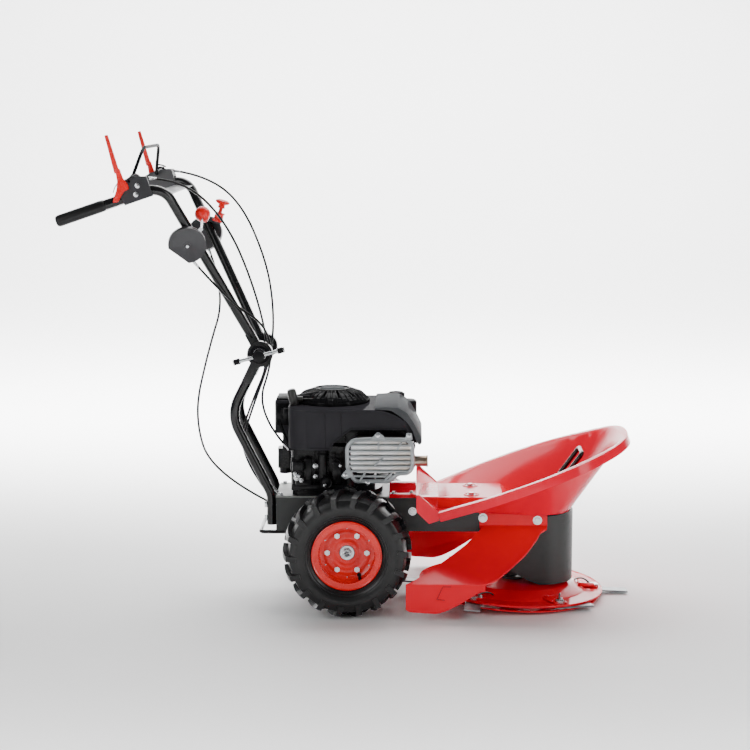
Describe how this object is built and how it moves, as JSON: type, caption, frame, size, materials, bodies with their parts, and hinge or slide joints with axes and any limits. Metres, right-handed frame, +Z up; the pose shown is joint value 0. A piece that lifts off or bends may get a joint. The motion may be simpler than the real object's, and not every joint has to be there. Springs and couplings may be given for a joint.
{
  "type": "brush mower",
  "caption": "Walk-behind drum brush mower: petrol engine on a two-wheel drive frame, swinging-knife disc under a scoop-shaped cover, tilting handlebar with levers.",
  "frame": {"origin": "on the ground, below the middle of the overall length and width", "axes": "+X forward, +Y to the operator's left, +Z up"},
  "size_m": [1.4745, 0.603, 1.2349],
  "materials": {
    "red_paint": "gloss",
    "dark_grey_paint": "satin",
    "light_grey_paint": "satin",
    "black_paint": "gloss",
    "zinc_steel": "satin",
    "dark_steel": "satin",
    "cast_alloy": "matte",
    "cast_iron": "matte",
    "black_engine": "satin",
    "black_plastic": "matte",
    "tyre": "matte",
    "belt_rubber": "matte",
    "grip_rubber": "matte",
    "cable_jacket": "satin",
    "red_plastic": "gloss"
  },
  "bodies": {
    "frame": {"chassis_beam": "dark_grey_paint", "engine_plate": "light_grey_paint", "rear_loop": "black_paint", "gearbox_case": "cast_alloy", "engine_block": "black_engine", "cylinder_head": "black_engine", "engine_shroud": "black_plastic", "starter_housing": "black_plastic", "muffler": "dark_steel", "muffler_guard": "black_paint", "fuel_tank": "black_plastic", "air_filter_cover": "black_plastic", "carburettor": "cast_alloy", "spark_plug": "zinc_steel", "belt_guard": "red_paint", "tub": "red_paint", "lifting_loop": "black_paint", "right_deflector": "red_paint", "left_deflector": "red_paint", "spindle_housing": "cast_iron", "lower_handle_tubes": "black_paint", "frame_bolts": "zinc_steel", "drive_belts": "belt_rubber", "control_cables": "cable_jacket"},
    "right_wheel": {"right_tyre": "tyre", "right_rim": "black_paint", "right_half_shaft": "dark_steel", "right_wheel_bolts": "zinc_steel"},
    "left_wheel": {"left_tyre": "tyre", "left_rim": "black_paint", "left_half_shaft": "dark_steel", "left_wheel_bolts": "zinc_steel"},
    "crank": {"crankshaft": "dark_steel", "flywheel": "cast_alloy", "engine_pulleys": "dark_steel"},
    "gearbox_drive": {"gearbox_input": "dark_steel"},
    "cutter": {"cutting_disc": "red_paint", "knife_bolts": "zinc_steel", "spindle": "dark_steel", "drum_pulley": "cast_iron"},
    "skid": {"skid_dish": "red_paint"},
    "knife_1": {"knife_1": "dark_steel"},
    "knife_2": {"knife_2": "dark_steel"},
    "knife_3": {"knife_3": "dark_steel"},
    "knife_4": {"knife_4": "dark_steel"},
    "knife_5": {"knife_5": "dark_steel"},
    "knife_6": {"knife_6": "dark_steel"},
    "handle": {"upper_handle": "black_paint", "handle_grips": "grip_rubber", "control_brackets": "dark_grey_paint", "control_discs": "black_plastic"},
    "right_lever": {"right_lever": "red_plastic"},
    "left_lever": {"left_lever": "red_plastic"},
    "dead_man_bar": {"dead_man_bar": "black_paint"},
    "ball_lever": {"ball_lever": "red_plastic"},
    "stop_plunger": {"stop_plunger": "red_plastic"},
    "clamp": {"clamp_bar": "zinc_steel"},
    "starter_grip": {"starter_grip": "black_plastic"},
    "fuel_cap": {"fuel_cap": "black_plastic"},
    "oil_cap": {"oil_cap": "black_plastic"}
  },
  "joints": [
    {"name": "right_wheel_spin", "type": "hinge", "parent": "frame", "child": "right_wheel", "pos_m": [-0.01, -0.22, 0.166], "axis": [0, 1, 0], "continuous": true},
    {"name": "left_wheel_spin", "type": "hinge", "parent": "frame", "child": "left_wheel", "pos_m": [-0.01, 0.22, 0.166], "axis": [0, 1, 0], "continuous": true},
    {"name": "disc_spin", "type": "hinge", "parent": "frame", "child": "cutter", "pos_m": [0.423, 0, 0.03], "axis": [0.0523, 0, 0.9986], "continuous": true},
    {"name": "crank_spin", "type": "hinge", "parent": "frame", "child": "crank", "pos_m": [-0.05, 0, 0.25], "axis": [0, 0, 1], "continuous": true},
    {"name": "gearbox_input_spin", "type": "hinge", "parent": "frame", "child": "gearbox_drive", "pos_m": [0.07, 0, 0.25], "axis": [0, 0, 1], "continuous": true},
    {"name": "skid_spin", "type": "hinge", "parent": "frame", "child": "skid", "pos_m": [0.423, 0, 0.03], "axis": [0.0523, 0, 0.9986], "continuous": true},
    {"name": "knife_1_swing", "type": "hinge", "parent": "cutter", "child": "knife_1", "pos_m": [0.64724, 0.00785, 0.01224], "axis": [0.0523, 0, 0.9986], "range_deg": [-95, 95]},
    {"name": "knife_2_swing", "type": "hinge", "parent": "cutter", "child": "knife_2", "pos_m": [0.52817, 0.19866, 0.01848], "axis": [0.0523, 0, 0.9986], "range_deg": [-107, 83]},
    {"name": "knife_3_swing", "type": "hinge", "parent": "cutter", "child": "knife_3", "pos_m": [0.30362, 0.19081, 0.03025], "axis": [0.0523, 0, 0.9986], "range_deg": [-77, 113]},
    {"name": "knife_4_swing", "type": "hinge", "parent": "cutter", "child": "knife_4", "pos_m": [0.19813, -0.00785, 0.03578], "axis": [0.0523, 0, 0.9986], "range_deg": [-95, 95]},
    {"name": "knife_5_swing", "type": "hinge", "parent": "cutter", "child": "knife_5", "pos_m": [0.3172, -0.19866, 0.02954], "axis": [0.0523, 0, 0.9986], "range_deg": [-119, 71]},
    {"name": "knife_6_swing", "type": "hinge", "parent": "cutter", "child": "knife_6", "pos_m": [0.54175, -0.19081, 0.01777], "axis": [0.0523, 0, 0.9986], "range_deg": [-175, 15]},
    {"name": "handle_tilt", "type": "hinge", "parent": "frame", "child": "handle", "pos_m": [-0.242, 0, 0.662], "axis": [0, 1, 0], "range_deg": [-20, 20], "deforming": ["control_cables"]},
    {"name": "clamp_turn", "type": "hinge", "parent": "frame", "child": "clamp", "pos_m": [-0.242, 0, 0.662], "axis": [0, 1, 0], "range_deg": [-90, 90]},
    {"name": "right_lever_squeeze", "type": "hinge", "parent": "handle", "child": "right_lever", "pos_m": [-0.562, -0.262, 1.102], "axis": [0, 1, 0], "range_deg": [-55, 0], "stiffness_Nm_per_rad": 0.8, "springref_deg": 22.92},
    {"name": "left_lever_squeeze", "type": "hinge", "parent": "handle", "child": "left_lever", "pos_m": [-0.562, 0.262, 1.102], "axis": [0, 1, 0], "range_deg": [-55, 0], "stiffness_Nm_per_rad": 0.8, "springref_deg": 22.92},
    {"name": "dead_man_bar_press", "type": "hinge", "parent": "handle", "child": "dead_man_bar", "pos_m": [-0.55, 0, 1.119], "axis": [0, 1, 0], "range_deg": [-75, 0], "stiffness_Nm_per_rad": 0.8, "springref_deg": 22.92},
    {"name": "ball_lever_turn", "type": "hinge", "parent": "handle", "child": "ball_lever", "pos_m": [-0.41561, -0.20269, 0.95969], "axis": [-0.1681, 0.9286, 0.3309], "range_deg": [0, 40]},
    {"name": "stop_plunger_push", "type": "slide", "parent": "handle", "child": "stop_plunger", "axis": [0.2599, 0, 0.9656], "range_m": [-0.014, 0]},
    {"name": "starter_pull", "type": "slide", "parent": "frame", "child": "starter_grip", "axis": [-1, 0, 0], "range_m": [0, 0.068], "stiffness_N_per_m": 60, "springref_m": -0.05},
    {"name": "fuel_cap_turn", "type": "hinge", "parent": "frame", "child": "fuel_cap", "pos_m": [0.112, 0.132, 0.515], "axis": [0, 0, 1], "range_deg": [-90, 0]},
    {"name": "oil_cap_turn", "type": "hinge", "parent": "frame", "child": "oil_cap", "pos_m": [-0.078, -0.104, 0.4], "axis": [0, 0, 1], "range_deg": [-90, 0]}
  ],
  "couplings": [
    {"joint": "crank_spin", "follows": "disc_spin", "ratio": 1.331},
    {"joint": "gearbox_input_spin", "follows": "disc_spin", "ratio": 0.7202}
  ]
}
